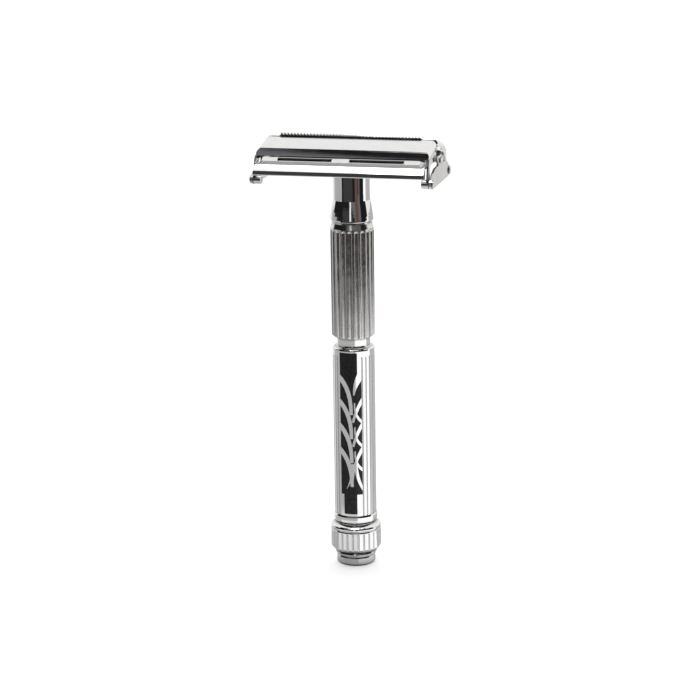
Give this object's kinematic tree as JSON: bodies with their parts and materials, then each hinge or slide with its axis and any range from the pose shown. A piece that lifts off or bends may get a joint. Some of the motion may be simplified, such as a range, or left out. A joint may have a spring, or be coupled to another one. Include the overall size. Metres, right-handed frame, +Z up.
{
  "type": "safety razor",
  "caption": "Chrome twist-to-open safety razor for double-edge blades: two hinged doors over a guard plate, fluted collar, inlaid barrel and twist knob.",
  "frame": {"origin": "centre of the box's bottom face, on the axis of the handle at the flat end of the knob", "axes": "+Z up the handle to the head, +X along the length of the head, -Y is the front"},
  "size_m": [0.0446, 0.0276, 0.1082],
  "materials": {
    "chrome": "polished",
    "satin_chrome": "satin",
    "black_enamel": "gloss",
    "brass": "machined",
    "steel": "machined"
  },
  "bodies": {
    "handle": {"guard_plate": "chrome", "neck_ferrule": "chrome", "fluted_collar": "satin_chrome", "spacer_ring": "chrome", "lower_barrel": "chrome", "front_inlay": "black_enamel", "back_inlay": "black_enamel", "end_ferrule": "chrome", "inner_tube": "brass", "rod_guide": "brass", "screw_bush": "brass"},
    "knob": {"knob_body": "chrome", "knob_foot": "chrome", "thrust_washer": "steel", "drive_screw": "steel"},
    "lift": {"lift_rod": "steel", "lift_nut": "brass", "center_bar": "chrome", "end_plate_right": "steel", "end_plate_left": "steel", "hinge_pins": "steel"},
    "front_leaf": {"door_front": "chrome"},
    "back_leaf": {"door_back": "chrome"}
  },
  "joints": [
    {"name": "carriage_lift", "type": "slide", "parent": "handle", "child": "lift", "axis": [0, 0, 1], "range_m": [0, 0.0036]},
    {"name": "knob_turn", "type": "hinge", "parent": "handle", "child": "knob", "pos_m": [0, 0, 0], "axis": [0, 0, 1], "range_deg": [0, 540]},
    {"name": "front_door_swing", "type": "hinge", "parent": "lift", "child": "front_leaf", "pos_m": [0, -0.0101, 0.0981], "axis": [1, 0, 0], "range_deg": [0, 62]},
    {"name": "back_door_swing", "type": "hinge", "parent": "lift", "child": "back_leaf", "pos_m": [0, 0.0101, 0.0981], "axis": [-1, 0, 0], "range_deg": [0, 62]}
  ],
  "couplings": [
    {"joint": "knob_turn", "follows": "carriage_lift", "rad_per_m": 2618},
    {"joint": "front_door_swing", "follows": "carriage_lift", "rad_per_m": 300.58},
    {"joint": "back_door_swing", "follows": "carriage_lift", "rad_per_m": 300.58}
  ]
}
